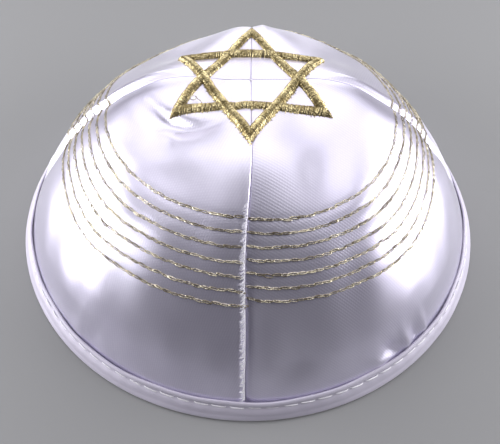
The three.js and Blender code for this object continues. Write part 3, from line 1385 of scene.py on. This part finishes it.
    def build(self, cap: Cap, padding: bpy.types.Material, gold: bpy.types.Material) -> None:
        """Build and dress both triangles."""
        for name, start, rise, seed in (
            ("over", 0.0, self.rise, SEED + 5),
            ("under", 180.0, self.under_rise, SEED + 6),
        ):
            base = self.build_padding(cap, start, rise, f"star_padding_{name}")
            finish_piece(base, padding, "star_embroidery")
            threads = self.build_threads(cap, start, rise, f"star_threads_{name}", seed)
            finish_piece(threads, gold, "star_embroidery")


@dataclass
class SeamStitches:
    """Fine white threads along the lower front seam, and one loose loop of gold thread by the star."""

    count: int = 260
    start_arc: float = 44.0
    thread_radius: float = 0.075

    def build_seam(self, cap: Cap) -> bpy.types.Object:
        """Lay the teased threads along the front seam's folded edge.

        Args:
            cap: the form of the cap.

        Returns:
            The threads as one piece.
        """
        generator = np.random.default_rng(SEED + 8)
        strands = []
        for arc in np.linspace(self.start_arc, cap.length - 7.0, self.count):
            radius = float(cap.radius(arc))
            length = generator.uniform(0.7, 1.9)
            across = -np.linspace(0.15, length, 4)
            arcs = arc + np.linspace(0.0, generator.uniform(0.4, 1.6), 4)
            drift = float(cap.waver(np.array(arcs[:1]), np.array([0.0]))[0])
            azimuths = np.degrees((across + drift) / radius)
            bulge = 0.42 * cap.bell(np.abs(across) - 0.75, 0.7)
            lifts = bulge + generator.uniform(0.02, 0.14) + np.array([-0.25, 0.08, 0.05, -0.04])
            strands.append(Strand(cap.place(arcs, azimuths, lifts), np.array([0.7, 1.0, 1.0, 0.4])))
        return lay_strands("seam_threads_front", strands, self.thread_radius * cap.unit, roundness=0)

    def build_loop(self, cap: Cap) -> bpy.types.Object:
        """Lay the loose loop of gold thread inside the star's left corner.

        Args:
            cap: the form of the cap.

        Returns:
            The loop.
        """
        turn = np.linspace(0.25, 2 * math.pi - 0.1, 18)
        centre = np.array([-16.6, -10.4])
        plan = centre + 0.95 * np.column_stack([np.cos(turn + 1.2), np.sin(turn + 1.2)])
        tail = np.array([[-15.4, -10.2], [-14.6, -10.5], [-14.1, -11.2], [-14.0, -11.9]])
        plan = np.vstack([plan, tail])
        lifts = np.concatenate([1.5 + 0.5 * np.sin(turn * 0.5), [1.1, 0.8, 0.5, 0.3]])
        strand = Strand(cap.place_plan(plan, lifts), np.ones(len(plan)))
        return lay_strands("loose_thread_loop", [strand], 0.13 * cap.unit)

    def build(self, cap: Cap, thread: bpy.types.Material, gold: bpy.types.Material) -> None:
        """Build and dress the seam's white threads and the gold loop."""
        finish_piece(self.build_seam(cap), thread, None)
        finish_piece(self.build_loop(cap), gold, None)


# ---------------------------------------------------------------------------------------------
# Stage
# ---------------------------------------------------------------------------------------------


@dataclass(frozen=True)
class Viewpoint:
    """The camera, with its place in shares of the rim's radius and its turns in degrees."""

    back: float = 1.4284
    height: float = 1.7134
    tilt: float = 53.15
    yaw: float = 0.26
    roll: float = 1.08
    lens: float = 34.2

    def build(self, rim_radius: float) -> None:
        """Add the camera and make it the scene's.

        Args:
            rim_radius: outer radius of the bound rim in metres.
        """
        camera_data = bpy.data.cameras.new("camera")
        camera_data.lens = self.lens
        camera_data.sensor_width = 36.0
        camera_data.clip_start = 0.01
        camera = bpy.data.objects.new("camera", camera_data)
        bpy.context.collection.objects.link(camera)
        tilt, yaw, roll = (math.radians(angle) for angle in (self.tilt, self.yaw, self.roll))
        forward = Vector((math.sin(yaw) * math.cos(tilt), math.cos(yaw) * math.cos(tilt), -math.sin(tilt)))
        right = Vector((math.cos(yaw), -math.sin(yaw), 0.0))
        up = right.cross(forward)
        rolled_right = math.cos(roll) * right + math.sin(roll) * up
        rolled_up = -math.sin(roll) * right + math.cos(roll) * up
        axes = Matrix((rolled_right, rolled_up, -forward)).transposed().to_4x4()
        place = Vector((0.0, -self.back * rim_radius, self.height * rim_radius))
        camera.matrix_world = Matrix.Translation(place) @ axes
        bpy.context.scene.camera = camera


@dataclass(frozen=True)
class Softbox:
    """A soft rectangular light aimed at the cap."""

    name: str
    place: tuple[float, float, float]
    size: tuple[float, float]
    power: float
    colour: tuple[float, float, float] = (1.0, 1.0, 1.0)

    def build(self) -> None:
        """Add the light."""
        light_data = bpy.data.lights.new(self.name, "AREA")
        light_data.shape = "RECTANGLE"
        light_data.size, light_data.size_y = self.size
        light_data.energy = self.power
        light_data.color = self.colour
        light = bpy.data.objects.new(self.name, light_data)
        bpy.context.collection.objects.link(light)
        light.location = self.place
        aim = Vector((0.0, 0.0, 0.03)) - Vector(self.place)
        light.rotation_euler = aim.to_track_quat("-Z", "Y").to_euler()


SOFTBOXES = (
    Softbox("light_top", (0.0, 0.10, 0.48), (0.90, 0.47), 2.3),
    Softbox("light_back", (0.0, 0.60, 0.30), (0.70, 0.40), 1.9),
    Softbox("light_left", (-0.46, -0.03, 0.126), (0.42, 0.28), 3.2),
    Softbox("light_right", (0.46, 0.0, 0.130), (0.40, 0.29), 2.9),
)


@dataclass(frozen=True)
class Stage:
    """A plain pale floor, a dim studio room and its softboxes."""

    floor_colour: tuple[float, float, float] = (0.24, 0.24, 0.25)
    floor_size: float = 3.0
    room_colour: tuple[float, float, float] = (0.80, 0.78, 0.92)
    room_low: float = 0.042
    room_high: float = 0.06

    def build_floor(self) -> None:
        """Add the floor."""
        bpy.ops.object.select_all(action="DESELECT")
        bpy.ops.mesh.primitive_plane_add(size=self.floor_size, location=(0.0, 0.0, 0.0))
        floor = bpy.context.object
        floor.name = "floor"
        material, _, shader = new_material("pale_floor")
        shader.inputs["Base Color"].default_value = (*self.floor_colour, 1.0)
        shader.inputs["Roughness"].default_value = 0.8
        floor.data.materials.append(material)

    def build_room(self) -> None:
        """Add the room's dim light, a little brighter overhead."""
        world = bpy.data.worlds.new("room")
        world.use_nodes = True
        nodes = Nodes(world.node_tree)
        heading = nodes.add("ShaderNodeTexCoord")
        parts = nodes.add("ShaderNodeSeparateXYZ")
        nodes.link(heading.outputs["Generated"], parts.inputs[0])
        share = nodes.add("ShaderNodeClamp")
        nodes.link(parts.outputs["Z"], share.inputs[0])
        low, high = (
            tuple(level * part for part in self.room_colour) for level in (self.room_low, self.room_high)
        )
        background = nodes.add("ShaderNodeBackground")
        nodes.link(nodes.blend(share.outputs[0], (*low, 1.0), (*high, 1.0)), background.inputs["Color"])
        output = nodes.add("ShaderNodeOutputWorld")
        nodes.link(background.outputs[0], output.inputs["Surface"])
        bpy.context.scene.world = world
        bpy.context.scene.view_settings.view_transform = "Standard"

    def build(self) -> None:
        """Build the whole stage."""
        self.build_floor()
        self.build_room()
        for softbox in SOFTBOXES:
            softbox.build()


GORES = (
    Gore("panel_front_right", 0.0, Rows(48.6, 3.67), Rows(50.2, 3.74), Rows(48.2, 3.47), SEED + 21),
    Gore("panel_back_right", 90.0, Rows(48.2, 3.47), Rows(52.5, 3.70), Rows(54.0, 3.70), SEED + 22),
    Gore("panel_back_left", 180.0, Rows(54.0, 3.70), Rows(58.5, 3.65), Rows(48.6, 3.93), SEED + 23),
    Gore("panel_front_left", 270.0, Rows(48.6, 3.93), Rows(48.0, 3.92), Rows(48.2, 4.05), SEED + 24),
)


def main() -> None:
    """Build the kippah and its stage."""
    logging.basicConfig(level=logging.INFO, format="%(name)s %(message)s")
    rim_radius = float(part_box("rim_binding")[1][0])
    Viewpoint().build(rim_radius)
    Stage().build()
    cap = Cap(rim_radius)
    patterns = SharedPatterns()
    satin = WHITE_SATIN.build(patterns)
    # The tape's finish is the satin darkened with painted shade.
    tape = SHADED_BINDING_SATIN.build(patterns)
    bright_gold = STAR_GOLD.build(patterns)
    pale_gold = ROW_GOLD.build(patterns)
    padding = PADDING_GOLD.build(patterns)
    thread = WHITE_THREAD.build(patterns)
    for gore in GORES:
        gore.build(cap, satin, pale_gold)
    Binding().build(cap, tape, thread)
    Star().build(cap, padding, bright_gold)
    SeamStitches().build(cap, thread, pale_gold)


if __name__ == "__main__":
    main()
